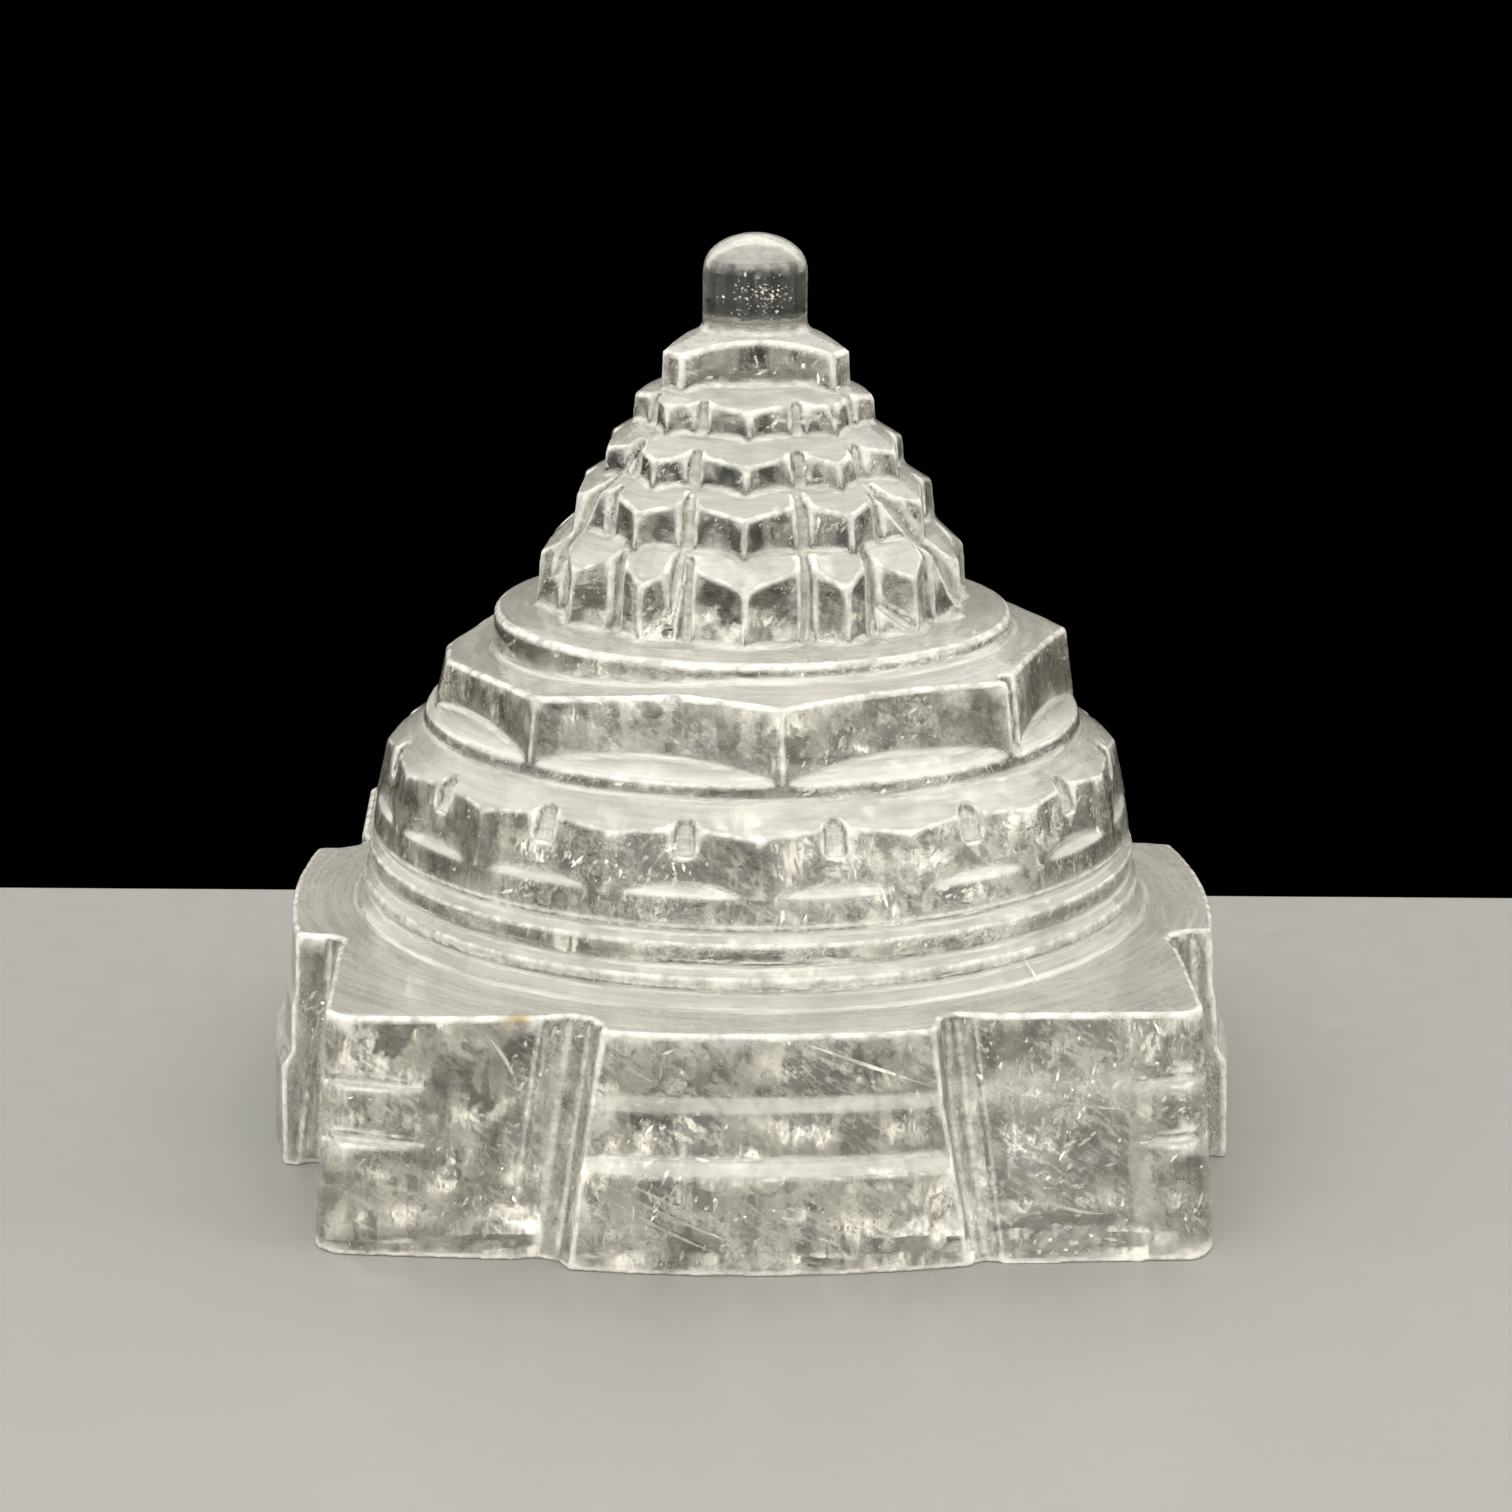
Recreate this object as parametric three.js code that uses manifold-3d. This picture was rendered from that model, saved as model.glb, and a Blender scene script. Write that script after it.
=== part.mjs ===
// A Meru Shri Yantra carved from one block of rock crystal, in millimetres, with +Z up.
// The front gate faces -Y, and the origin is the middle of the flat underside.
// Bearings are in degrees, and are counted from the front (-Y) towards +X.

import * as THREE from 'three';
import { ConvexGeometry } from 'three/addons/geometries/ConvexGeometry.js';
import { mergeVertices } from 'three/addons/utils/BufferGeometryUtils.js';
import Module from 'manifold-3d';

const wasm = await Module();
wasm.setup();

// The whole stone.
const GATE_TO_GATE = 50;
const BLOCK_WIDTH = 43.4;
const BASE_TOP = 11.6;
const TOTAL_HEIGHT = 45.9;

// Base block: a square with rounded corners that leans in towards its top. Its front was ground
// askew: the foot stands out by the bulge, more to the right by the skew, less at the corners.
const BLOCK_TOP_SCALE = 0.965;
const BLOCK_CORNER_RADIUS = 1.6;
const FRONT_FOOT = { bulge: 1.8, skew: 0.04, fall: 0.0021 };
const FRONT_STEPS = 6;

// Gates: three levels of wall from the floor up, with a sloped ledge above each lower level.
const GATE_FACE = GATE_TO_GATE / 2;
const GATE_LEVELS = [
  { top: 4.8, setback: 0 },
  { top: 7.8, setback: 0.65 },
  { top: BASE_TOP, setback: 1.0 },
];
const GATE_LEDGE_RISE = 0.8;
const GATE_FACE_LEAN = 0.15;
const GATE_BOW_RADIUS = 45;
const GATE_ROOT = 17;
const GATE_PLAN_FLOOR = { front: 9.3, root: 11.2 };
const GATE_PLAN_TOP = { front: 6.9, root: 9.6 };

// Coves down the sides of each gate, the left one ground with a wider wheel. The middle of the
// wheel keeps clear of the face of the block, and moves in from foot to head along the gate.
const COVES = [
  { hand: -1, radius: 1.8, clear: 1.45, foot: 11.3, head: 9.6 },
  { hand: 1, radius: 1.0, clear: 0.7, foot: 10.5, head: 9.1 },
];

// V-shaped notches ground into the corners of the block, which run out to nothing towards the
// gates. rise is how far the bottom of the V lies above its lower lip.
const CORNER_NOTCH = { length: 5.8, depth: 0.7, rise: 0.4, width: 1.15, lips: [5.4, 8.2] };

// Three rings between the base and the sixteen petals, from the base up. Each is an upright wall
// under a slope that runs back to a narrow groove.
const RINGS = [
  { floor: 11.3, wallTop: 11.9, top: 12.4, radius: 20.45 },
  { floor: 12.4, wallTop: 13.05, top: 13.65, radius: 20.15 },
  { floor: 13.65, wallTop: 14.65, top: 15.2, radius: 19.85 },
];
const RING_SLOPE_DEPTH = 0.6;
const RING_UNDERSIDE = 0.12;

// Petal tiers. Each is a turned collar with a polygon of flats above it. The collar shows as a
// lens of ledge at the foot of each flat.
const SIXTEEN = {
  petals: 16,
  turn: -1,
  floor: 15.2,
  band: 19.65,
  collar: 19.4,
  foot: 19.5,
  footHeight: 16.8,
  ledgeTop: 17.4,
  rim: 18.6,
  rimHeight: 19.8,
  neck: 17.0,
  top: 20.9,
};
const EIGHT = {
  petals: 8,
  turn: 2.7,
  floor: 20.8,
  band: 16.95,
  collar: 16.8,
  foot: 16.85,
  footHeight: 21.7,
  ledgeTop: 22.5,
  rim: 16.25,
  rimHeight: 25.35,
  neck: 13.4,
  top: 25.85,
};
const COLLAR_GROOVE = 0.35;
const COLLAR_UNDERSIDE = 0.2;
const FLAT_DIP = 0.12;

// A short groove in the top of each of the sixteen petals, which fades out downwards.
const PETAL_NOTCH = { radius: 0.6, height: 1.1, depth: 0.8 };

// Upright groove at one corner of the eight petals, a flat ground on another, and the fall of
// their top towards the left. A chip is missing from the rim.
const CORNER_FLUTE = { bearing: 50, radius: 0.55, out: 15.95 };
const CORNER_TRIM = { bearing: -88, foot: 16.35, rim: 15.4 };
const LEFT_FALL = { from: -1, slope: 0.095 };
const RIM_CHIP = { bearing: -17.5, radius: 0.7, out: 15.45, height: 25.5 };

// Round disc under the triangle tiers.
const DISC = { floor: 24.6, radius: 13.3, edgeTop: 26.8, neck: 11.5, top: 27.0, round: 0.35 };

// Tiers of triangle points, from the disc up. front lists the bearings of the cuts in front. The
// cuts round the back are evenly spaced between the last of them and the first.
const TRIANGLE_TIERS = [
  { points: 14, floor: 26.8, shoulder: 29.9, top: 31.3, radius: 11.2, front: [-72, -44, -21.5, 13, 33, 57] },
  { points: 10, floor: 31.2, shoulder: 33.1, top: 34.1, radius: 9.55, front: [-57, -24.5, 14.5, 43] },
  { points: 10, floor: 34.0, shoulder: 35.4, top: 36.4, radius: 7.95, front: [-57, -27, 16.5, 45] },
  { points: 8, floor: 36.3, shoulder: 37.8, top: 38.6, radius: 6.2, front: [-66, -30, 20.5, 58] },
];
const CUT_WIDTH = 0.8;
const CUT_FLOOR_RATIO = 0.86;
const POINT_FLANK_RATIO = 0.925;
const TIER_TOP_SCALE = 0.965;
const TIER_NECK_INSET = 1.9;

// Long grooves sawn down across the tiers, as [bearing, height] along the bottom of each. The
// bottom lies on a cone under the corners of the tiers, and the saw opens the stone outwards.
const SAW_CONE = { height: 38.9, radius: 5.25, slope: 0.465 };
const SAW_BLADE = { edge: 0.15, mouth: 0.55, reach: 2 };
const SAW_LINES = [
  [[-27.0, 38.6], [-24.2, 27.7]],
  [[14.9, 38.5], [13.0, 27.9]],
  [[38.7, 38.0], [41.0, 35.8], [47.0, 33.4], [61.0, 30.8], [69.6, 27.7]],
  [[33.2, 31.0], [33.3, 28.8], [44.8, 27.3]],
  [[-62.0, 37.9], [-59.7, 35.4], [-67.1, 33.4], [-72.9, 31.2], [-77.4, 28.6]],
  [[141.0, 38.0], [133.0, 33.4], [111.0, 27.7]],
  [[-141.0, 38.0], [-133.0, 33.4], [-111.0, 27.7]],
  [[180.0, 38.5], [180.0, 27.9]],
];

// Triangular top block with trimmed corners and one flat side to the front.
const TRIKONA = { apothem: 3.3, corner: 5.0, floor: 38.5, shoulder: 40.2, top: 40.9 };
const TRIKONA_TOP_SCALE = 0.97;

// Bindu: a short round pillar with a low dome and a flared foot.
const BINDU = { radius: 2.65, flare: 0.6, flareTop: 41.5, shoulder: 44.1 };

const ROUND_STEPS = 72;
const TIER_STEPS = 40;
const SMALL_ROUND_STEPS = 32;
const ARC_STEPS = 4;
const GROOVE_SIDES = 10;
const CHIP_SIDES = 12;
const WELD_DISTANCE = 1e-5;

const CRYSTAL_COLOUR = 0xd9d4ca;

const radians = THREE.MathUtils.degToRad;
const degrees = THREE.MathUtils.radToDeg;

// A closed geometry as a solid. Only the positions are kept, so that shared corners merge.
function solidOf(geometry) {
  const bare = geometry.clone();
  bare.deleteAttribute('normal');
  bare.deleteAttribute('uv');
  const merged = mergeVertices(bare, WELD_DISTANCE);
  const index = merged.index.array;
  const kept = [];
  for (let i = 0; i < index.length; i += 3) {
    const [a, b, c] = [index[i], index[i + 1], index[i + 2]];
    if (a !== b && b !== c && c !== a) {
      kept.push(a, b, c);
    }
  }
  const mesh = new wasm.Mesh({
    numProp: 3,
    vertProperties: new Float32Array(merged.attributes.position.array),
    triVerts: new Uint32Array(kept),
  });
  return new wasm.Manifold(mesh);
}

function geometryOf(solid) {
  const mesh = solid.getMesh();
  const geometry = new THREE.BufferGeometry();
  geometry.setAttribute('position', new THREE.BufferAttribute(mesh.vertProperties, 3));
  geometry.setIndex(new THREE.BufferAttribute(mesh.triVerts, 1));
  geometry.computeVertexNormals();
  return geometry;
}

// A solid turned about Z to face a bearing.
const turned = (solid, bearing) => solidOf(geometryOf(solid).rotateZ(radians(bearing)));

const joined = (solids) => solids.reduce((whole, next) => whole.add(next));

const cutBy = (body, cutters) => cutters.reduce((rest, cutter) => rest.subtract(cutter), body);

const times = (count, make) => Array.from({ length: count }, (_, k) => make(k));

// A point in plan at a bearing and radius.
function planPoint(bearing, radius) {
  const angle = radians(bearing - 90);
  return new THREE.Vector2(radius * Math.cos(angle), radius * Math.sin(angle));
}

function spacePoint([bearing, radius, height]) {
  const plan = planPoint(bearing, radius);
  return new THREE.Vector3(plan.x, plan.y, height);
}

// A revolve about Z of [radius, height] points, which start and end on the axis, bottom first.
function revolve(profile, steps = ROUND_STEPS) {
  const points = profile.map(([radius, height]) => new THREE.Vector2(radius, height));
  const lathe = new THREE.LatheGeometry(points, steps);
  lathe.rotateX(Math.PI / 2);
  return solidOf(lathe);
}

const unmoved = (x, y) => [x, y];

// A plan outline pulled up from one height to another. The corners of its top and of its foot
// can be moved.
function prism(shape, floor, top, reshapeTop = unmoved, reshapeFoot = unmoved) {
  const geometry = new THREE.ExtrudeGeometry(shape, {
    depth: top - floor,
    bevelEnabled: false,
    curveSegments: ARC_STEPS,
  });
  const position = geometry.attributes.position;
  for (let i = 0; i < position.count; i += 1) {
    const reshape = position.getZ(i) > 0 ? reshapeTop : reshapeFoot;
    position.setXY(i, ...reshape(position.getX(i), position.getY(i)));
  }
  geometry.translate(0, 0, floor);
  return solidOf(geometry);
}

const scaledBy = (scale) => (x, y) => [x * scale, y * scale];

// A [distance out, height] profile pulled across the front. With a bow radius its faces stand
// out in the middle, as part of a wide cylinder.
function bar(profile, halfWidth, bowRadius = Infinity) {
  const shape = new THREE.Shape(profile.map(([out, height]) => new THREE.Vector2(out, height)));
  const steps = Number.isFinite(bowRadius) ? 2 * ARC_STEPS : 1;
  const geometry = new THREE.ExtrudeGeometry(shape, { depth: 2 * halfWidth, bevelEnabled: false, steps });
  geometry.translate(0, 0, -halfWidth);
  const position = geometry.attributes.position;
  for (let i = 0; i < position.count; i += 1) {
    position.setX(i, position.getX(i) - position.getZ(i) ** 2 / (2 * bowRadius));
  }
  geometry.rotateX(Math.PI / 2);
  geometry.rotateZ(-Math.PI / 2);
  return solidOf(geometry);
}

// The smallest solid round some points, which bulges in nowhere.
const hull = (points) => solidOf(new ConvexGeometry(points));

// A round cutter from one point to another.
function rod(from, to, radius, sides = GROOVE_SIDES) {
  const span = to.clone().sub(from);
  const geometry = new THREE.CylinderGeometry(radius, radius, span.length(), sides);
  geometry.translate(0, span.length() / 2, 0);
  const turn = new THREE.Quaternion().setFromUnitVectors(new THREE.Vector3(0, 1, 0), span.normalize());
  geometry.applyQuaternion(turn);
  geometry.translate(from.x, from.y, from.z);
  return solidOf(geometry);
}

// Everything under a sloped, turned top: flat to the neck, then falling through the shoulder.
function coneCap(tier, shoulderRadius, shoulderHeight, neck, steps = ROUND_STEPS) {
  const fall = (tier.top - shoulderHeight) / (shoulderRadius - neck);
  const reach = shoulderRadius + 2;
  return revolve([
    [0, tier.floor],
    [reach, tier.floor],
    [reach, tier.top - fall * (reach - neck)],
    [neck, tier.top],
    [0, tier.top],
  ], steps);
}

// A square with rounded corners, with steps along its front edge.
function squareOutline(halfWidth, cornerRadius) {
  const inner = halfWidth - cornerRadius;
  const shape = new THREE.Shape();
  const corners = [[1, 1, 0], [-1, 1, 90], [-1, -1, 180]];
  const round = (x, y, start) => {
    shape.absarc(x * inner, y * inner, cornerRadius, radians(start), radians(start + 90));
  };
  corners.forEach(([x, y, start]) => round(x, y, start));
  times(FRONT_STEPS - 1, (k) => (2 * (k + 1)) / FRONT_STEPS - 1).forEach((along) => {
    shape.lineTo(along * inner, -halfWidth);
  });
  round(1, -1, 270);
  return shape;
}

// How far the foot of the front stands out at a distance to the right of the middle.
function frontFoot(across) {
  const { bulge, skew, fall } = FRONT_FOOT;
  return bulge + skew * across - fall * across ** 2;
}

// How far out a face of the block is at a height.
function blockFace(bearing, across, height) {
  const half = BLOCK_WIDTH / 2;
  const foot = half + (bearing === 0 ? frontFoot(across) : 0);
  return foot + (half * BLOCK_TOP_SCALE - foot) * (height / BASE_TOP);
}

// One V-shaped cut: it deepens from nothing to its full depth at the corner of the block.
function cornerNotch(lip, bearing, hand) {
  const { length, depth, rise, width } = CORNER_NOTCH;
  const start = BLOCK_WIDTH / 2 - length;
  const reach = 4;
  const pastCorner = 1.4;
  const section = (along) => {
    const across = hand * (start + length * along);
    const out = blockFace(bearing, across, lip) - depth * along;
    const bottom = lip + rise * along;
    return [
      new THREE.Vector3(across, -out, bottom),
      new THREE.Vector3(across, -out - depth * reach, bottom - rise * reach),
      new THREE.Vector3(across, -out - depth * reach, bottom + (width - rise) * reach),
    ];
  };
  return turned(hull([...section(0), ...section(pastCorner)]), bearing);
}

function baseBlock() {
  const inner = BLOCK_WIDTH / 2 - BLOCK_CORNER_RADIUS;
  const atFront = (y) => Math.max(0, -y - inner) / BLOCK_CORNER_RADIUS;
  const block = prism(
    squareOutline(BLOCK_WIDTH / 2, BLOCK_CORNER_RADIUS),
    0,
    BASE_TOP,
    scaledBy(BLOCK_TOP_SCALE),
    (x, y) => [x, y - frontFoot(x) * atFront(y)],
  );
  const cutters = times(4, (side) =>
    CORNER_NOTCH.lips.flatMap((lip) => [-1, 1].map((hand) => cornerNotch(lip, 90 * side, hand))),
  ).flat();
  return cutBy(block, cutters);
}

// The section of a gate from its root to its stepped face.
function gateProfile() {
  const face = [];
  let floor = 0;
  GATE_LEVELS.forEach(({ top, setback }) => {
    face.push([GATE_FACE - setback, floor]);
    face.push([GATE_FACE - setback - GATE_FACE_LEAN, top]);
    floor = top + GATE_LEDGE_RISE;
  });
  return [[GATE_ROOT, 0], ...face, [GATE_ROOT, BASE_TOP]];
}

// One gate: the stepped section with bowed faces, trimmed to side walls that splay to the root.
function gate(bearing) {
  const past = 1;
  const plan = new THREE.Shape([
    new THREE.Vector2(-GATE_PLAN_FLOOR.root, -GATE_ROOT),
    new THREE.Vector2(-GATE_PLAN_FLOOR.front, -GATE_FACE - past),
    new THREE.Vector2(GATE_PLAN_FLOOR.front, -GATE_FACE - past),
    new THREE.Vector2(GATE_PLAN_FLOOR.root, -GATE_ROOT),
  ]);
  const narrow = (x, y) => {
    const atFront = y < -GATE_FACE;
    const width = atFront ? GATE_PLAN_TOP.front : GATE_PLAN_TOP.root;
    return [Math.sign(x) * width, y];
  };
  const walls = prism(plan, 0, BASE_TOP, narrow);
  const face = bar(gateProfile(), GATE_PLAN_FLOOR.root + past, GATE_BOW_RADIUS);
  return turned(walls.intersect(face), bearing);
}

// Coves down both sides of a gate, where it meets the block.
function gateCoves(bearing) {
  const past = 1;
  return COVES.map(({ hand, radius, clear, foot, head }) => {
    const middle = (across, height) =>
      new THREE.Vector3(across, -blockFace(bearing, across, height) - clear, height);
    const low = middle(hand * foot, 0);
    const high = middle(hand * head, BASE_TOP);
    const run = high.clone().sub(low).setLength(past);
    return turned(rod(low.sub(run), high.add(run), radius), bearing);
  });
}

function base() {
  const bearings = [0, 90, 180, 270];
  const body = joined([baseBlock(), ...bearings.map(gate)]);
  return cutBy(body, bearings.flatMap(gateCoves));
}

// The rings as one revolve.
function rings() {
  const section = RINGS.flatMap(({ floor, wallTop, top, radius }) => [
    [radius, floor + RING_UNDERSIDE],
    [radius, wallTop],
    [radius - RING_SLOPE_DEPTH, top],
  ]);
  const { floor } = RINGS[0];
  const { top } = RINGS[RINGS.length - 1];
  return revolve([[0, floor], [RINGS[0].radius, floor], ...section, [0, top]]);
}

function polygon(sides, turn, radius) {
  return new THREE.Shape(times(sides, (k) => planPoint(turn + (360 / sides) * k, radius)));
}

function petalTier(tier) {
  const ledgeRadius = tier.foot * Math.cos(Math.PI / tier.petals) - FLAT_DIP;
  const collar = revolve([
    [0, tier.floor],
    [tier.band - COLLAR_GROOVE, tier.floor],
    [tier.band, tier.floor + COLLAR_UNDERSIDE],
    [tier.collar, tier.footHeight],
    [ledgeRadius, tier.ledgeTop],
    [0, tier.ledgeTop],
  ]);
  const flats = prism(
    polygon(tier.petals, tier.turn, tier.foot),
    tier.footHeight,
    tier.top,
    scaledBy(tier.rim / tier.foot),
  );
  return collar.add(flats.intersect(coneCap(tier, tier.rim, tier.rimHeight, tier.neck)));
}

function petalNotches(tier) {
  const pitch = 360 / tier.petals;
  const flat = tier.rim * Math.cos(radians(pitch / 2));
  const { radius, height, depth } = PETAL_NOTCH;
  const past = 0.5;
  return times(tier.petals, (k) => {
    const bearing = tier.turn + pitch * (k + 0.5);
    const low = spacePoint([bearing, flat + radius, tier.rimHeight - height]);
    const high = spacePoint([bearing, flat + radius - depth, tier.top + past]);
    return rod(low, high, radius);
  });
}

function cornerFlute() {
  const { bearing, radius, out } = CORNER_FLUTE;
  const low = spacePoint([bearing, out + radius, EIGHT.footHeight]);
  const high = spacePoint([bearing, out, EIGHT.top]);
  return rod(low, high, radius);
}

// Everything outside a leaning flat across one corner.
function cornerTrim() {
  const { bearing, foot, rim } = CORNER_TRIM;
  const span = 6;
  const outline = (out, height) => [-span, span].map((across) => new THREE.Vector3(across, -out, height));
  const cutter = hull([
    ...outline(foot, EIGHT.footHeight),
    ...outline(rim, EIGHT.top),
    ...outline(foot + span, EIGHT.footHeight),
    ...outline(foot + span, EIGHT.top),
  ]);
  return turned(cutter, bearing);
}

// Everything over the part of the top that falls away to the left.
function leftFall() {
  const { from, slope } = LEFT_FALL;
  const span = 20;
  const above = 3;
  const edge = (across, height) => [-span, span].map((y) => new THREE.Vector3(across, y, height));
  return hull([
    ...edge(from, EIGHT.top),
    ...edge(from - span, EIGHT.top - slope * span),
    ...edge(from, EIGHT.top + above),
    ...edge(from - span, EIGHT.top + above),
  ]);
}

function rimChip() {
  const { bearing, radius, out, height } = RIM_CHIP;
  const chip = new THREE.SphereGeometry(radius, CHIP_SIDES, CHIP_SIDES / 2);
  const centre = spacePoint([bearing, out, height]);
  chip.translate(centre.x, centre.y, centre.z);
  return solidOf(chip);
}

function disc() {
  const { floor, radius, edgeTop, neck, top, round } = DISC;
  const edge = times(ARC_STEPS + 1, (step) => {
    const angle = (Math.PI / 2) * (step / ARC_STEPS);
    return [radius - round + round * Math.cos(angle), edgeTop - round + round * Math.sin(angle)];
  });
  return revolve([[0, floor], [radius, floor], ...edge, [neck, top], [0, top]]);
}

// All the cuts round a tier, in order: those given for the front, then the even ones behind.
function cutBearings({ points, front }) {
  const first = front[0];
  const last = front[front.length - 1];
  const behind = points - front.length;
  const spacing = (first + 360 - last) / (behind + 1);
  return [...front, ...times(behind, (k) => last + spacing * (k + 1))];
}

// A star in plan: between two cuts the stone comes to a blunt point with two flat flanks.
function starOutline(tier) {
  const { radius } = tier;
  const cuts = cutBearings(tier);
  const halfCut = degrees(Math.asin(CUT_WIDTH / 2 / radius));
  const corners = cuts.flatMap((from, k) => {
    const to = k + 1 < cuts.length ? cuts[k + 1] : cuts[0] + 360;
    return [
      planPoint(from + halfCut / 2, radius * CUT_FLOOR_RATIO),
      planPoint(from + halfCut, radius * POINT_FLANK_RATIO),
      planPoint((from + to) / 2, radius),
      planPoint(to - halfCut, radius * POINT_FLANK_RATIO),
      planPoint(to - halfCut / 2, radius * CUT_FLOOR_RATIO),
    ];
  });
  return new THREE.Shape(corners);
}

// A tier of triangle points. The falling top makes each ridge end lower than its flanks.
function triangleTier(tier) {
  const star = prism(starOutline(tier), tier.floor, tier.top, scaledBy(TIER_TOP_SCALE));
  const shoulderRadius = tier.radius * TIER_TOP_SCALE;
  const neck = tier.radius - TIER_NECK_INSET;
  return star.intersect(coneCap(tier, shoulderRadius, tier.shoulder, neck, TIER_STEPS));
}

// One stretch of a saw cut: narrow along its bottom and wider at its mouth.
function sawStretch(from, to) {
  const { edge, mouth, reach } = SAW_BLADE;
  const line = (out) => [from, to].map(([bearing, height]) => {
    const radius = SAW_CONE.radius + (SAW_CONE.height - height) * SAW_CONE.slope + out;
    return spacePoint([bearing, radius, height]);
  });
  const corners = (points, halfWidth) => {
    const along = points[1].clone().sub(points[0]);
    const middle = points[0].clone().add(points[1]).setZ(0);
    const sideways = along.cross(middle).setLength(halfWidth);
    return points.flatMap((point) => [point.clone().add(sideways), point.clone().sub(sideways)]);
  };
  return hull([...corners(line(0), edge), ...corners(line(reach), mouth)]);
}

function sawCuts() {
  return SAW_LINES.flatMap((line) =>
    line.slice(1).map((to, k) => sawStretch(line[k], to)),
  );
}

function trikona() {
  const { apothem, corner, floor, shoulder, top } = TRIKONA;
  const full = 2 * apothem;
  const trim = (full - corner) * Math.tan(radians(30));
  const outline = [60, 180, 300].flatMap((bearing) => {
    const spread = degrees(Math.atan(trim / corner));
    const reach = Math.hypot(corner, trim);
    return [planPoint(bearing - spread, reach), planPoint(bearing + spread, reach)];
  });
  const block = prism(new THREE.Shape(outline), floor, top, scaledBy(TRIKONA_TOP_SCALE));
  return block.intersect(coneCap(TRIKONA, corner, shoulder, BINDU.radius + BINDU.flare, SMALL_ROUND_STEPS));
}

function bindu() {
  const { radius, flare, flareTop, shoulder } = BINDU;
  const foot = times(ARC_STEPS, (step) => {
    const angle = (Math.PI / 2) * (step / ARC_STEPS);
    return [
      radius + flare * (1 - Math.sin(angle)),
      flareTop - flare * Math.cos(angle),
    ];
  });
  const domeSteps = ARC_STEPS + 2;
  const dome = times(domeSteps, (step) => {
    const angle = (Math.PI / 2) * (step / domeSteps);
    return [radius * Math.cos(angle), shoulder + (TOTAL_HEIGHT - shoulder) * Math.sin(angle)];
  });
  return revolve(
    [[0, TRIKONA.shoulder], ...foot, [radius, flareTop], ...dome, [0, TOTAL_HEIGHT]],
    SMALL_ROUND_STEPS,
  );
}

function meru() {
  const petals = cutBy(petalTier(SIXTEEN), petalNotches(SIXTEEN));
  const eightCuts = [cornerFlute(), cornerTrim(), leftFall(), rimChip()];
  const upperPetals = cutBy(petalTier(EIGHT), eightCuts);
  const triangles = cutBy(joined(TRIANGLE_TIERS.map(triangleTier)), sawCuts());
  return joined([base(), rings(), petals, upperPetals, disc(), triangles, trikona(), bindu()]);
}

const crystal = new THREE.Mesh(
  geometryOf(meru()),
  new THREE.MeshStandardMaterial({
    color: CRYSTAL_COLOUR,
    roughness: 0.08,
    metalness: 0,
    transparent: true,
    opacity: 0.35,
  }),
);
crystal.name = 'crystal_meru';

const stone = new THREE.Group();
stone.add(crystal);

export default stone;
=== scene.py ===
"""Looks for the rock crystal meru: the stone, what shows inside it, the stage, the light and the camera.

All lengths are in metres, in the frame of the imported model: the origin is under the middle of the
base, +Z goes up through the bindu, and the front gate faces -Y.
"""
import math

import bpy
import bmesh
import numpy as np
from mathutils import Matrix, Vector
from mathutils.bvhtree import BVHTree


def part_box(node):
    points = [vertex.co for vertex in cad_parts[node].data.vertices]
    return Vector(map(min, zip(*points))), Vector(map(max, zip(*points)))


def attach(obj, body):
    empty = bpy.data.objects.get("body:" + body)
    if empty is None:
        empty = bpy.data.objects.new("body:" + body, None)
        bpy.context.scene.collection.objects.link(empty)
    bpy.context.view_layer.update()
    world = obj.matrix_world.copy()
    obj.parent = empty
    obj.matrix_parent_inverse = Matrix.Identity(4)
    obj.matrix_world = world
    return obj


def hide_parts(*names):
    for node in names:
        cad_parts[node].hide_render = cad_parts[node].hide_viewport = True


MM = 0.001

# The stone's surface: how finely it is made, and how far its edges are worn
WELD_DISTANCE = 0.0005 * MM
VOXEL = 0.12 * MM
TRIANGLE_COUNT = 185000
WEAR_PASSES = 4
WEAR_KEPT = 0.45
WEAR_MOVED = 0.55

# Waves of hand grinding, as size and height, which fade out towards the floor
WAVES = ((9.0 * MM, 0.045 * MM), (3.5 * MM, 0.020 * MM), (1.3 * MM, 0.005 * MM))
WAVE_SEED = 11
WAVE_FADE = 0.6 * MM

# What counts as an edge, a groove or a ledge, as where it starts and over how much it grows. The
# first two are turns of the surface in radians a millimetre, and the others are the rise of its
# normal.
EDGE_TURN = (0.40, 0.6)
GROOVE_TURN = (0.15, 0.6)
LEDGE_RISE = (0.27, 0.2)
TURN_PASSES = 4

# The upper ledge of the gates is steeper than the others. The ledges at the feet of the petals
# are whiter.
GATE_LEDGE_RISE = (0.13, 0.06)
GATE_LEDGE_HEIGHT = 8.2 * MM
GATE_LEDGE_REACH = 0.45 * MM
PETAL_FEET = (16.8 * MM, 21.7 * MM)
PETAL_FOOT_REACH = 0.35 * MM
PETAL_FOOT_GAIN = 1.7

# Noise repeats after this many cells, and the shift keeps the number of every cell above 0.
NOISE_CELLS = 64
NOISE_SHIFT = 1000.5

# The photograph's camera, fitted to the base, the rings and the bindu
IMAGE_SIDE = 1512
SENSOR_SIDE = 36
FOCAL_PIXELS = 3974
CAMERA_DISTANCE = 206.4 * MM
CAMERA_ELEVATION = math.radians(14.99)
CAMERA_TURN = math.radians(-2.33)
CAMERA_ROLL = math.radians(-0.4)
AIM_HEIGHT = 18.7 * MM
AIM_PIXELS = 4
AIM_SIDEWAYS = AIM_PIXELS / FOCAL_PIXELS * CAMERA_DISTANCE
NEAREST_SEEN, FARTHEST_SEEN = 0.005, 20


# Numbers over a mesh

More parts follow.
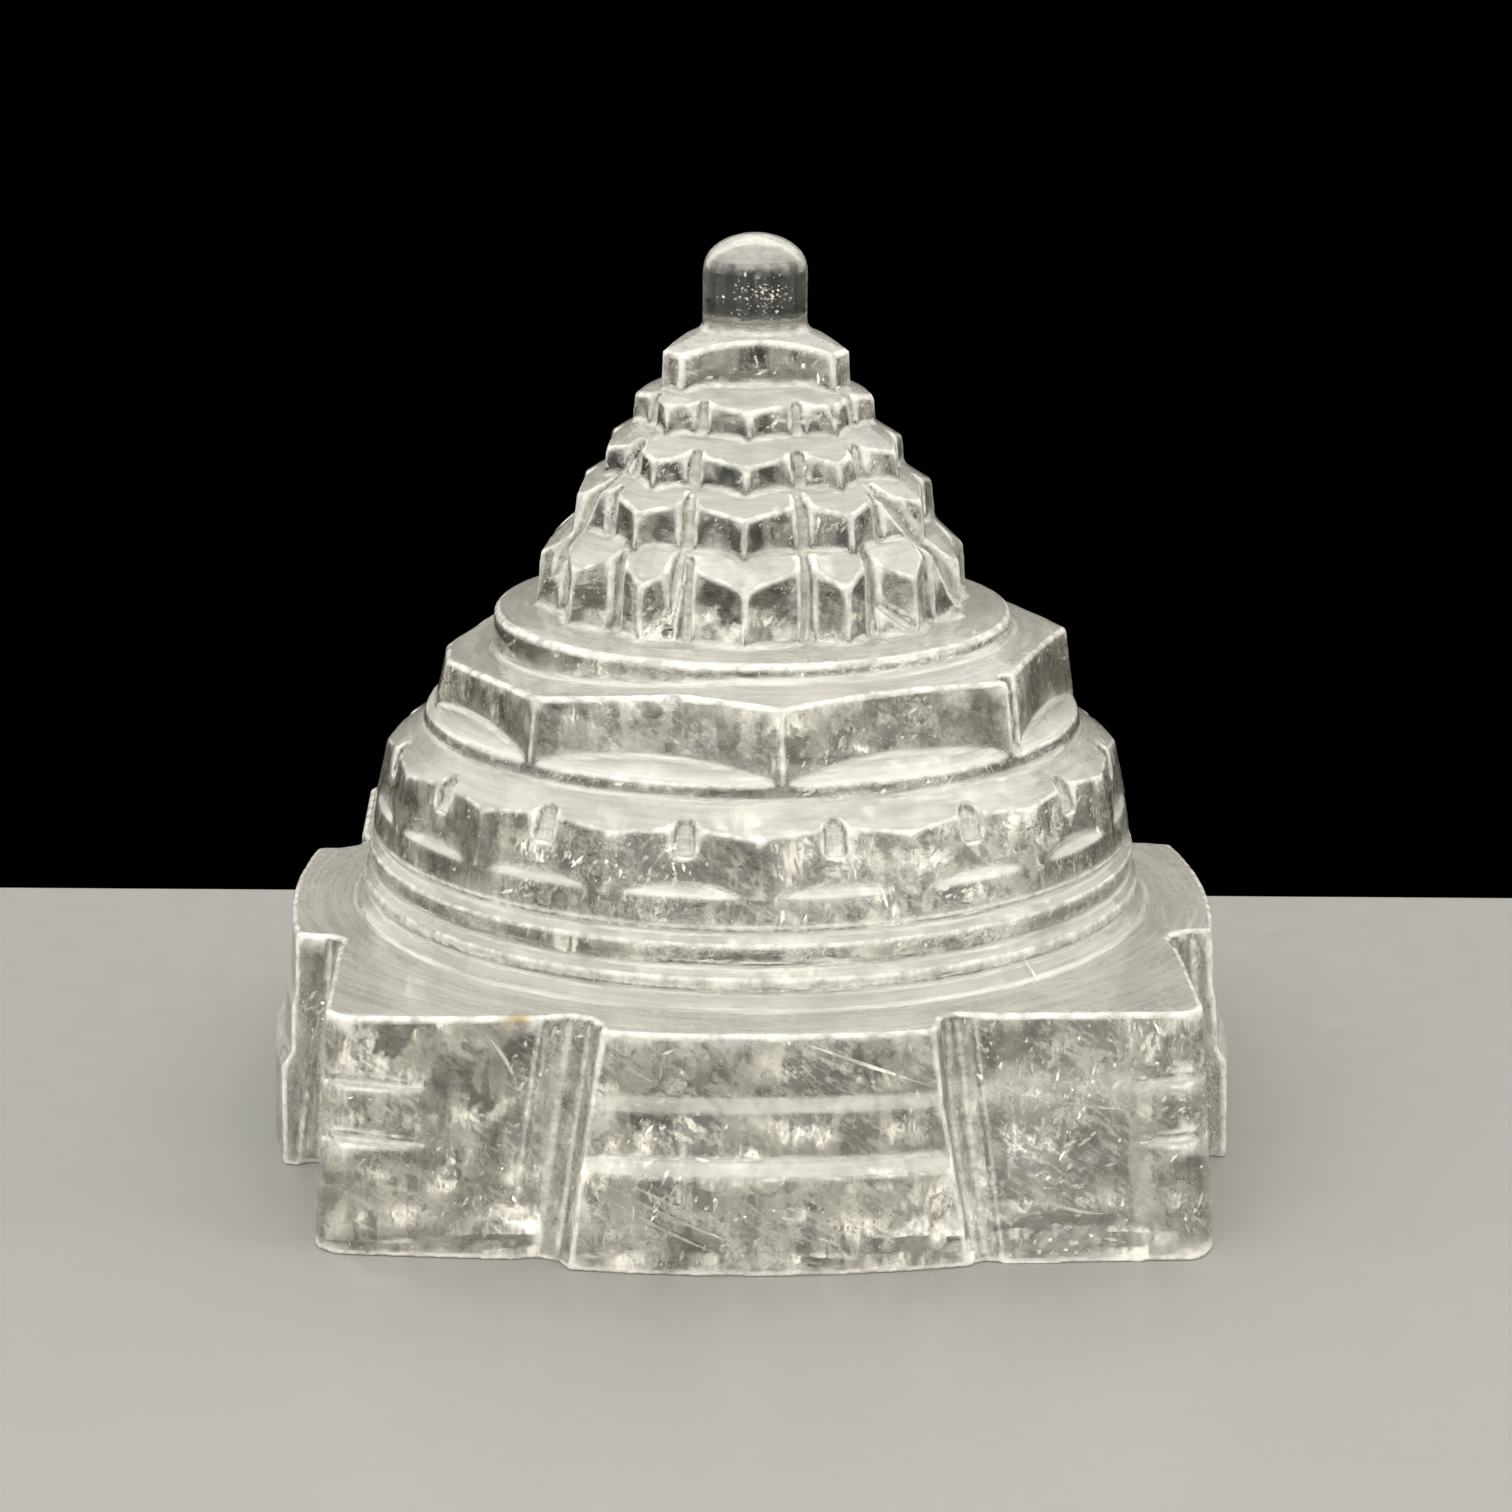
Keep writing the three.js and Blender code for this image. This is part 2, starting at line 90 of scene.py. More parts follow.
def points_of(mesh):
    flat = np.empty(len(mesh.vertices) * 3)
    mesh.vertices.foreach_get("co", flat)
    return flat.reshape(-1, 3)


def set_points(mesh, points):
    mesh.vertices.foreach_set("co", points.ravel())
    mesh.update()


def normals_of(mesh):
    flat = np.empty(len(mesh.vertices) * 3, np.float32)
    mesh.vertex_normals.foreach_get("vector", flat)
    return flat.reshape(-1, 3).astype(float)


def edges_of(mesh):
    flat = np.empty(len(mesh.edges) * 2, np.int32)
    mesh.edges.foreach_get("vertices", flat)
    return flat.reshape(-1, 2)


def neighbour_mean(values, edges, count):
    """The mean of each vertex's neighbours, for one number or one vector a vertex."""
    a, b = edges[:, 0], edges[:, 1]
    degree = np.bincount(a, minlength=count) + np.bincount(b, minlength=count)
    columns = []
    for column in values.reshape(count, -1).T:
        total = np.bincount(a, column[b], count) + np.bincount(b, column[a], count)
        columns.append(total / np.maximum(degree, 1))
    return np.stack(columns, 1).reshape(values.shape)


def smooth_noise(points, size, seed):
    """Noise between about -1 and 1 that changes over the given size, alike on every run."""
    lattice = np.random.default_rng(seed).uniform(-1, 1, (NOISE_CELLS,) * 3)
    place = points / size + NOISE_SHIFT
    corner = np.floor(place).astype(int)
    part = place - corner
    part = part * part * (3 - 2 * part)
    total = np.zeros(len(points))
    for dx in (0, 1):
        for dy in (0, 1):
            for dz in (0, 1):
                weight = (
                    np.where(dx, part[:, 0], 1 - part[:, 0])
                    * np.where(dy, part[:, 1], 1 - part[:, 1])
                    * np.where(dz, part[:, 2], 1 - part[:, 2])
                )
                x, y, z = ((corner + (dx, dy, dz)) % NOISE_CELLS).T
                total += weight * lattice[x, y, z]
    return total


def layered_noise(points, layers, seed):
    """Noises added up, each with a size and a height."""
    return sum(
        height * smooth_noise(points, size, seed + index)
        for index, (size, height) in enumerate(layers)
    )


def grown(values, start, width):
    """0 up to start, then growing to 1 over the width."""
    return np.clip((values - start) / width, 0, 1)


def with_modifier(obj, kind, **settings):
    """obj's mesh after one modifier, as a new mesh."""
    modifier = obj.modifiers.new(kind.lower(), kind)
    for name, value in settings.items():
        setattr(modifier, name, value)
    graph = bpy.context.evaluated_depsgraph_get()
    mesh = bpy.data.meshes.new_from_object(obj.evaluated_get(graph))
    obj.modifiers.clear()
    obj.data = mesh
    return mesh


def link(obj):
    bpy.context.scene.collection.objects.link(obj)
    return obj


def write_attribute(mesh, name, values):
    layer = mesh.attributes.new(name, "FLOAT", "POINT")
    layer.data.foreach_set("value", values.astype(np.float32))


# The stone

def weld(mesh):
    work = bmesh.new()
    work.from_mesh(mesh)
    bmesh.ops.remove_doubles(work, verts=work.verts, dist=WELD_DISTANCE)
    work.to_mesh(mesh)
    work.free()


def write_wear(mesh):
    """Stores how far each place is a worn edge, a ground groove or a ledge, for the quartz."""
    points, normals, edges = points_of(mesh), normals_of(mesh), edges_of(mesh)
    a, b = edges[:, 0], edges[:, 1]
    step = points[b] - points[a]
    bend = ((normals[b] - normals[a]) * step).sum(1) / np.maximum((step * step).sum(1), 1e-12)
    count = len(points)
    degree = np.bincount(a, minlength=count) + np.bincount(b, minlength=count)
    turn = MM * (np.bincount(a, bend, count) + np.bincount(b, bend, count)) / np.maximum(degree, 1)
    for _ in range(TURN_PASSES):
        turn = 0.5 * turn + 0.5 * neighbour_mean(turn, edges, count)
    write_attribute(mesh, "edge", grown(turn, *EDGE_TURN))
    write_attribute(mesh, "groove", grown(-turn, *GROOVE_TURN))

    height, rise = points[:, 2], normals[:, 2]
    ledge = grown(rise, *LEDGE_RISE)
    for foot in PETAL_FEET:
        on_foot = abs(height - foot) < PETAL_FOOT_REACH
        ledge = np.where(on_foot, ledge * PETAL_FOOT_GAIN, ledge)
    on_gate = abs(height - GATE_LEDGE_HEIGHT) < GATE_LEDGE_REACH
    write_attribute(mesh, "ledge", np.maximum(ledge, grown(rise, *GATE_LEDGE_RISE) * on_gate))


def cut_stone(node, low, high):
    """The carved stone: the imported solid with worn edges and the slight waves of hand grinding."""
    mesh = node.data.copy()
    weld(mesh)
    stone = link(bpy.data.objects.new("meru_stone", mesh))
    mesh = with_modifier(stone, "REMESH", mode="VOXEL", voxel_size=VOXEL, adaptivity=0.0)

    points, edges = points_of(mesh), edges_of(mesh)
    count = len(points)
    for _ in range(WEAR_PASSES):
        points = WEAR_KEPT * points + WEAR_MOVED * neighbour_mean(points, edges, count)
    set_points(mesh, points)

    shift = layered_noise(points, WAVES, WAVE_SEED) * grown(points[:, 2], low.z, WAVE_FADE)
    set_points(mesh, points + normals_of(mesh) * shift[:, None])
    write_wear(mesh)

    triangles = len(mesh.polygons) * 2
    ratio = TRIANGLE_COUNT / triangles
    mesh = with_modifier(stone, "DECIMATE", ratio=ratio, use_collapse_triangulate=True)
    set_points(mesh, np.clip(points_of(mesh), np.array(low), np.array(high)))
    mesh.shade_smooth()
    return stone


# What shows inside the stone

class Inside:
    """Says how deep a point lies in the stone; negative is outside."""

    def __init__(self, obj):
        corners = [vertex.co for vertex in obj.data.vertices]
        faces = [face.vertices for face in obj.data.polygons]
        self.tree = BVHTree.FromPolygons(corners, faces)

    def depth(self, point):
        surface, normal, _, distance = self.tree.find_nearest(point)
        return distance if (surface - point).dot(normal) > 0 else -distance

    def sunk(self, point, depth):
        """The point itself, or the place at that depth beneath it where it lies less deep."""
        if self.depth(point) >= depth:
            return point
        surface, normal, _, _ = self.tree.find_nearest(point)
        return surface - normal * depth


# Healed fractures, here called veils, behind each side of the base. Their dark bands are painted
# shade, standing in for the dark seen through clear quartz. In mm: place along the side, distance
# out from the axis, height, half length and half width
BASE_VEILS = (
    (-15.5, 19.9, 5.6, 8.0, 8.5),
    (0.0, 22.3, 5.6, 12.0, 8.5),
    (15.5, 19.9, 5.6, 8.0, 8.5),
    (-12.0, 17.2, 6.0, 10.0, 8.5),
    (1.5, 19.2, 5.0, 10.0, 8.5),
    (12.0, 17.0, 5.5, 10.0, 8.5),
)

# The same round the tiers, in mm: distance out, height, half length, half width and how many
TIER_VEILS = (
    (17.0, 18.2, 7.5, 3.4, 8),
    (14.2, 23.4, 6.8, 3.0, 8),
    (8.0, 29.0, 2.4, 1.8, 5),
)

# Larger ones across the middle: place in mm, the two directions that it spreads in, and its half
# length and half width in mm
DEEP_VEILS = (
    ((-8, 4, 7), (1, 0.4, 0.2), (-0.3, 0.2, 1), 10, 7),
    ((9, 7, 7), (1, -0.4, 0.2), (0.3, 0.2, 1), 10, 7),
    ((0, -8, 8), (1, 0.1, 0.3), (0.1, 0.6, 1), 13, 7),
    ((0, 3, 19), (1, 0.2, 0.4), (0.2, 0.5, 1), 12, 6),
    ((1, -3, 24), (1, -0.3, 0.1), (0, 0.4, 1), 9, 4),
)

# The size of a veil's cells, how far it stays from the surface, over how much it fades in there,
# and how unevenly it is tilted about its usual lean
VEIL_CELL = 0.42 * MM
VEIL_MARGIN = 0.12 * MM
VEIL_FADE = 0.3 * MM
VEIL_TILT = 0.10
VEIL_LEAN = -0.08

# How a veil swells out of its plane, as sizes and heights in mm, and how ragged its rim is
VEIL_SWELLS = ((5 * MM, 0.6), (1.6 * MM, 0.25))
VEIL_RIM_SIZE = 3 * MM
VEIL_RIM_RAGGED = 0.4
VEIL_RIM_FADE = 0.35
VEIL_RIM_POWER = 4
VEIL_SEED = 20
TILT_SEED = 3


class Sheets:
    """Collects wavy sheets inside the stone, which fade out at their rims and near its surface."""

    def __init__(self, inside):
        self.inside = inside
        self.corners, self.faces, self.cover = [], [], []
        self.rng = np.random.default_rng(TILT_SEED)

    def add(self, middle, along, across, half_long, half_wide):
        seed = VEIL_SEED + len(self.corners)
        along, across = along.normalized(), across.normalized()
        normal = np.array(along.cross(across).normalized())
        columns = round(2 * half_long / VEIL_CELL) + 1
        rows = round(2 * half_wide / VEIL_CELL) + 1
        u, v = np.meshgrid(np.linspace(-1, 1, columns), np.linspace(-1, 1, rows))
        u, v = u.ravel(), v.ravel()
        flat = np.array(middle) + np.outer(u * half_long, along) + np.outer(v * half_wide, across)
        sheet = flat + np.outer(layered_noise(flat, VEIL_SWELLS, seed) * MM, normal)
        ragged = VEIL_RIM_RAGGED * smooth_noise(flat, VEIL_RIM_SIZE, seed + len(VEIL_SWELLS))
        rim = 1 - ragged - np.maximum(abs(u), abs(v)) ** VEIL_RIM_POWER
        depth = np.array([self.inside.depth(Vector(point)) for point in sheet])
        cover = grown(rim, 0, VEIL_RIM_FADE) * grown(depth, VEIL_MARGIN, VEIL_FADE)
        start = len(self.corners)
        self.corners += [tuple(point) for point in sheet]
        self.cover += list(cover)
        for row in range(rows - 1):
            for column in range(columns - 1):
                a = row * columns + column
                face = (a, a + 1, a + columns + 1, a + columns)
                if min(depth[i] for i in face) > VEIL_MARGIN and max(cover[i] for i in face) > 0:
                    self.faces.append(tuple(start + i for i in face))

    def add_facing(self, bearing, along_side, out, height, half_long, half_wide):
        """A sheet behind a wall that faces the bearing, counted from -Y towards +X."""
        side = Vector((math.cos(bearing), math.sin(bearing), 0))
        outward = Vector((math.sin(bearing), -math.cos(bearing), 0))
        tilt = self.rng.uniform(-VEIL_TILT, VEIL_TILT, 3)
        middle = (side * along_side + outward * out + Vector((0, 0, height))) * MM
        along = side + outward * tilt[0] + Vector((0, 0, tilt[1]))
        across = Vector((0, 0, 1)) + outward * (tilt[2] + VEIL_LEAN)
        self.add(middle, along, across, half_long * MM, half_wide * MM)


def inner_veils_with_painted_shade(inside):
    """Veils behind the four sides, round the tiers and across the middle, whose dark bands are painted
    shade.
    """
    sheets = Sheets(inside)
    for side in range(4):
        for veil in BASE_VEILS:
            sheets.add_facing(side * math.pi / 2, *veil)
    for out, height, half_long, half_wide, count in TIER_VEILS:
        for k in range(count):
            sheets.add_facing((k + 0.5) * math.tau / count, 0, out, height, half_long, half_wide)
    for middle, along, across, half_long, half_wide in DEEP_VEILS:
        middle, along, across = Vector(middle) * MM, Vector(along), Vector(across)
        sheets.add(middle, along, across, half_long * MM, half_wide * MM)
    cover = np.array(sheets.cover)
    inner_piece("inner_veils_with_painted_shade", sheets.corners, sheets.faces, veil_finish_with_painted_shade(), cover)


def inner_piece(name, corners, faces, material, cover=None):
    """A piece of the visible model inside the stone, with no loose corners."""
    mesh = bpy.data.meshes.new(name)
    mesh.from_pydata(corners, [], faces)
    if cover is not None:
        write_attribute(mesh, "cover", cover)
    work = bmesh.new()
    work.from_mesh(mesh)
    loose = [corner for corner in work.verts if not corner.link_faces]
    bmesh.ops.delete(work, geom=loose, context="VERTS")
    work.to_mesh(mesh)
    work.free()
    mesh.materials.append(material)
    mesh.shade_smooth()
    made = link(bpy.data.objects.new(name, mesh))
    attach(made, "root")


# Flakes keep this far from the surface. They have four or five corners, unevenly placed. Their
# half lengths are in mm, as a unit, the least number of units and how quickly long ones get rare.
FLAKE_MARGIN = 0.08 * MM
FLAKE_CORNERS = (4, 6)
FLAKE_UNEVEN = 0.3
FLAKE_REACH = (0.6, 1.0)
LONGEST_FLAKE = 0.5
FLAKE_SEED = 7
CROWD_SEED = 5

# Slivers stand a little way in from faces steeper than this, up to the foot of the bindu. They
# gather in crowds, given as sizes and heights of noise.
SLIVER_COUNT = 19000
SLIVER_TRIES = 7 * SLIVER_COUNT
SLIVER_LENGTH = (0.075, 0.6, 1.6)
SLIVER_SLIMNESS = (0.3, 0.9)
SLIVER_WIDEST = 0.12 * MM
SLIVER_DEPTHS = (0.25, 1.5)
SLIVER_CROWDS = ((3.2 * MM, 1.0), (1.1 * MM, 0.7))
CROWD_LEVELS = (-0.1, 1.0)
STEEP_FACE = 0.5
BINDU_FOOT = 40 * MM

# How far one end of a sliver dips into the wall, and one edge, for each length and width
SLIVER_DIP = 0.3
SLIVER_ROLL = 0.7

# How slivers lean from level, in radians: on average, from patch to patch, and one by one
LEAN = -0.85
LEAN_OF_PATCH = 1.1
LEAN_OF_ONE = 0.4
LEAN_SIZE = 4.5 * MM
LEAN_SEED = 31

# Loose flakes lie all through the stone, in clouds.
LOOSE_COUNT = 3000
LOOSE_TRIES = 8 * LOOSE_COUNT
LOOSE_LENGTH = (0.08, 0.5, 2.2)
LOOSE_SLIMNESS = (0.2, 0.7)
LOOSE_CLOUDS = ((4.0 * MM, 1.0), (1.5 * MM, 0.6))
CLOUD_LEVEL = 0.3

# Where dense bright specks gather near the front, in mm: middle, half sizes and how many
SPECK_CLOUDS = (
    ((-18.6, -20.8, 3.6), (2.6, 0.5, 2.4), 90),
    ((-18.8, -20.6, 7.4), (2.0, 0.5, 1.6), 50),
    ((4.0, -23.3, 2.4), (3.2, 0.5, 1.8), 110),
    ((-6.0, -23.3, 2.2), (2.6, 0.5, 1.6), 60),
    ((0.3, -1.2, 42.9), (1.5, 0.8, 1.1), 170),
)
SPECK_SIZES = (0.04, 0.11)
SPECK_SPREAD = 0.5


class Flakes:
    """Collects small flat flakes with four or five corners."""

    def __init__(self, inside):
        self.inside = inside
        self.rng = np.random.default_rng(FLAKE_SEED)
        self.corners, self.faces = [], []

    def add(self, place, axis, other, long, wide):
        """A flake at place, unless a corner would come too near the surface."""
        sides = int(self.rng.integers(*FLAKE_CORNERS))
        corners = []
        for k in range(sides):
            angle = math.tau * (k + self.rng.uniform(-FLAKE_UNEVEN, FLAKE_UNEVEN)) / sides
            reach = self.rng.uniform(*FLAKE_REACH)
            across = other * (math.sin(angle) * reach * wide)
            corners.append(place + axis * (math.cos(angle) * reach * long) + across)
        if min(self.inside.depth(corner) for corner in corners) < FLAKE_MARGIN:
            return
        start = len(self.corners)
        self.corners += [tuple(corner) for corner in corners]
        self.faces.append(tuple(range(start, start + sides)))

    def add_loose(self, place, long, wide):
        """A flake at place that faces anywhere."""
        axis = Vector(self.rng.normal(size=3)).normalized()
        other = axis.cross(Vector(self.rng.normal(size=3))).normalized()
        self.add(place, axis, other, long, wide)

    def length(self, unit, least, rarity):
        return min(unit * (least + self.rng.pareto(rarity)), LONGEST_FLAKE) * MM


def behind_walls(made, mesh):
    """Slivers a little way in from the steep faces, those of one patch leaning much the same way."""
    rng = made.rng
    count = len(mesh.polygons)
    area, middles, normals = np.empty(count), np.empty(count * 3), np.empty(count * 3)
    mesh.polygons.foreach_get("area", area)
    mesh.polygons.foreach_get("center", middles)
    mesh.polygons.foreach_get("normal", normals)
    middles, normals = middles.reshape(-1, 3), normals.reshape(-1, 3)
    area = area * (abs(normals[:, 2]) < STEEP_FACE)
    picked = rng.choice(count, SLIVER_TRIES, p=area / area.sum())
    middles, normals = middles[picked], normals[picked]
    middles = middles - normals * rng.uniform(*SLIVER_DEPTHS, (SLIVER_TRIES, 1)) * MM
    crowd = layered_noise(middles, SLIVER_CROWDS, CROWD_SEED)
    crowded = crowd > rng.uniform(*CROWD_LEVELS, SLIVER_TRIES)
    kept = crowded & (middles[:, 2] < BINDU_FOOT)
    middles, normals = middles[kept][:SLIVER_COUNT], normals[kept][:SLIVER_COUNT]
    lean = LEAN + LEAN_OF_PATCH * smooth_noise(middles, LEAN_SIZE, LEAN_SEED)
    lean = lean + rng.normal(scale=LEAN_OF_ONE, size=len(middles))
    for middle, normal, angle in zip(middles, normals, lean):
        normal = Vector(normal)
        side = normal.cross(Vector((0, 0, 1))).normalized()
        up = side.cross(normal)
        axis = side * math.cos(angle) + up * math.sin(angle)
        axis = axis + normal * rng.uniform(-SLIVER_DIP, SLIVER_DIP)
        other = normal.cross(axis).normalized() + normal * rng.uniform(-SLIVER_ROLL, SLIVER_ROLL)
        long = made.length(*SLIVER_LENGTH)
        wide = min(long * rng.uniform(*SLIVER_SLIMNESS), SLIVER_WIDEST)
        made.add(Vector(middle), axis.normalized(), other.normalized(), long, wide)


def flakes(inside, mesh, low, high):
    """Slivers behind the walls, loose flakes further in and clouds of bright specks."""
    made = Flakes(inside)
    rng = made.rng
    behind_walls(made, mesh)
    tries = rng.uniform(np.array(low), np.array(high), (LOOSE_TRIES, 3))
    cloud = layered_noise(tries, LOOSE_CLOUDS, CROWD_SEED)
    for place in tries[cloud > CLOUD_LEVEL][:LOOSE_COUNT]:
        long = made.length(*LOOSE_LENGTH)
        made.add_loose(Vector(place), long, long * rng.uniform(*LOOSE_SLIMNESS))
    for middle, spread, count in SPECK_CLOUDS:
        for offset in rng.normal(scale=SPECK_SPREAD, size=(count, 3)):
            size = rng.uniform(*SPECK_SIZES) * MM
            made.add_loose(Vector(np.array(middle) + offset * spread) * MM, size, size)
    inner_piece("flakes", made.corners, made.faces, flake_finish())


# Single fracture lines that catch the light behind the front, in mm: an end, the middle, an end
THREADS = (
    ((11.2, -21.6, 8.2), (14.0, -21.0, 7.2), (17.2, -20.6, 6.7)),
    ((12.2, -21.8, 3.0), (14.2, -21.3, 2.0), (16.2, -20.8, 1.5)),
    ((-8.6, -23.6, 4.2), (-5.4, -23.4, 2.2), (-2.4, -23.2, 0.7)),
    ((-8.0, -23.4, 4.4), (-5.0, -23.2, 2.7), (-1.6, -23.0, 1.2)),
    ((-7.0, -23.5, 4.5), (-4.8, -23.4, 3.3), (-3.0, -23.3, 2.4)),
    ((1.5, -22.9, 11.0), (4.4, -22.9, 9.9), (7.4, -22.8, 8.8)),
    ((-7.4, -23.0, 10.4), (-6.4, -22.8, 9.6), (-5.2, -22.6, 8.9)),
    ((-13.5, -20.4, 10.8), (-12.4, -20.6, 9.4), (-11.8, -20.8, 8.0)),
    ((12.6, -16.4, 13.2), (14.2, -16.0, 12.4), (16.2, -15.2, 12.2)),
)
THREAD_WIDTH = 0.09 * MM
THREAD_DEPTH = 0.35 * MM
THREAD_STEPS = 12
THREAD_TURNS = (0.5, 2.2)
THREAD_BLUNT_END = 0.04


def threads(inside):
    """Each line is a pair of thin ribbons at an angle to each other, sunk in where it lies shallow."""
    corners, faces = [], []
    for start, middle, end in THREADS:
        start, middle, end = (Vector(point) * MM for point in (start, middle, end))
        bend = 2 * middle - (start + end) / 2
        along = (end - start).normalized()
        for turn in THREAD_TURNS:
            side = along.orthogonal().normalized()
            side.rotate(Matrix.Rotation(turn, 3, along))
            first = len(corners)
            for step in range(THREAD_STEPS + 1):
                t = step / THREAD_STEPS
                point = start * (1 - t) ** 2 + bend * 2 * t * (1 - t) + end * t ** 2
                point = inside.sunk(point, THREAD_DEPTH)
                place = min(max(t, THREAD_BLUNT_END), 1 - THREAD_BLUNT_END)
                half = THREAD_WIDTH * math.sin(math.pi * place)
                corners += [tuple(point + side * half), tuple(point - side * half)]
            for step in range(THREAD_STEPS):
                a = first + 2 * step
                faces.append((a, a + 1, a + 3, a + 2))
    inner_piece("fracture_lines", corners, faces, flake_finish())


# Materials

# The wheel's streaks are as long as they are said to be at this radius.
TURNED_RADIUS = 15 * MM

# Quartz lets nearly all light through. Ledges and clouds hold some of it back.
QUARTZ_TINTS = ((0.96, 0.945, 0.88, 1), (0.98, 0.97, 0.92, 1))
QUARTZ_IOR = 1.544
CLEAREST = 0.99
LEDGE_MILK = 0.37
CLOUD_MILK = 0.02

# A speck of iron stain on the left block, in mm
IRON_PLACE = (-11.9, -20.9, 11.5)
IRON_REACH = 1.1 * MM
IRON_TINT = (0.66, 0.50, 0.20, 1)
IRON_MILK = 0.6

# Each kind of band in a veil goes from one tint to the other, in crinkles. The dark bands are
# painted shade, standing in for the dark seen through clear quartz; the pale bands are the veils'
# own silvery colour.
VEIL_PAINTED_SHADE_TINTS = ((0.34, 0.34, 0.342, 1), (0.86, 0.85, 0.82, 1))
VEIL_PALE_TINTS = ((0.80, 0.785, 0.73, 1), (0.96, 0.945, 0.89, 1))
VEIL_COVER = 0.70
FLAKE_TINTS = ((0.80, 0.78, 0.73, 1), (0.99, 0.98, 0.95, 1))
FLOOR_TINTS = ((0.30, 0.297, 0.288, 1), (0.33, 0.327, 0.318, 1))


class Nodes:
    """Short names for the calls that build a material's node tree."""

    def __init__(self, name):
        self.material = bpy.data.materials.new(name)
        self.material.use_nodes = True
        self.tree = self.material.node_tree
        self.shader = self.tree.nodes["Principled BSDF"]
        self.place = self.tree.nodes.new("ShaderNodeTexCoord").outputs["Object"]

    def node(self, kind, **inputs):
        made = self.tree.nodes.new("ShaderNode" + kind)
        for name, value in inputs.items():
            self.set(made.inputs[name.replace("_", " ")], value)
        return made

    def set(self, socket, value):
        if isinstance(value, bpy.types.NodeSocket):
            self.tree.links.new(value, socket)
        else:
            socket.default_value = value

    def noise(self, size, detail=2.0, rough=0.5, stretch=None, lean=0.0):
        """Noise from 0 to 1 whose cells are about the given size, times stretch, and lean about Y."""
        source = self.place
        if stretch:
            mapping = self.node("Mapping", Vector=source)
            mapping.vector_type = "TEXTURE"
            mapping.inputs["Rotation"].default_value = (0, lean, 0)
            mapping.inputs["Scale"].default_value = stretch
            source = mapping.outputs[0]
        made = self.node("TexNoise", Vector=source, Scale=1 / size, Detail=detail, Roughness=rough)
        return made.outputs["Fac"]

    def ground(self, across, along, detail, rough):
        """Noise drawn out round the stone's axis, as a wheel leaves it, with cells of two sizes."""
        parts = self.node("SeparateXYZ", Vector=self.place).outputs
        angle = self.math("ARCTAN2", parts["X"], self.math("MULTIPLY", parts["Y"], -1.0))
        squares = [self.math("MULTIPLY", parts[name], parts[name]) for name in "XY"]
        radius = self.math("SQRT", self.math("ADD", *squares))
        made = self.node("CombineXYZ")
        self.set(made.inputs["X"], self.math("MULTIPLY", angle, TURNED_RADIUS / along))
        self.set(made.inputs["Y"], self.math("MULTIPLY", radius, 1 / across))
        self.set(made.inputs["Z"], self.math("MULTIPLY", parts["Z"], 1 / across))
        made = self.node("TexNoise", Vector=made.outputs[0], Scale=1.0, Detail=detail, Roughness=rough)
        return made.outputs["Fac"]

    def ramp(self, source, start, end, low=0.0, high=1.0):
        """source from start to end becomes low to high, held there outside."""
        made = self.node("MapRange", Value=source)
        made.clamp = True
        for name, value in (("From Min", start), ("From Max", end), ("To Min", low), ("To Max", high)):
            made.inputs[name].default_value = value
        return made.outputs[0]

    def math(self, operation, a, b=0.0, clamp=False):
        made = self.tree.nodes.new("ShaderNodeMath")
        made.operation = operation
        made.use_clamp = clamp
        self.set(made.inputs[0], a)
        self.set(made.inputs[1], b)
        return made.outputs[0]

    def mix(self, share, a, b):
        made = self.tree.nodes.new("ShaderNodeMix")
        made.data_type = "RGBA"
        self.set(made.inputs[0], share)
        self.set(made.inputs[6], a)
        self.set(made.inputs[7], b)
        return made.outputs[2]

    def attribute(self, name):
        made = self.tree.nodes.new("ShaderNodeAttribute")
        made.attribute_name = name
        return made.outputs["Fac"]

    def near(self, point, reach):
        """1 at a point of the part, in mm, falling to 0 at the reach."""
        made = self.node("VectorMath")
        made.operation = "DISTANCE"
        self.set(made.inputs[0], self.place)
        made.inputs[1].default_value = [value * MM for value in point]
        return self.ramp(made.outputs["Value"], 0.0, reach, 1.0, 0.0)

    def bump(self, height, distance, strength=1.0, normal=None):
        made = self.node("Bump", Height=height, Distance=distance, Strength=strength)
        if normal:
            self.set(made.inputs["Normal"], normal)
        return made.outputs[0]


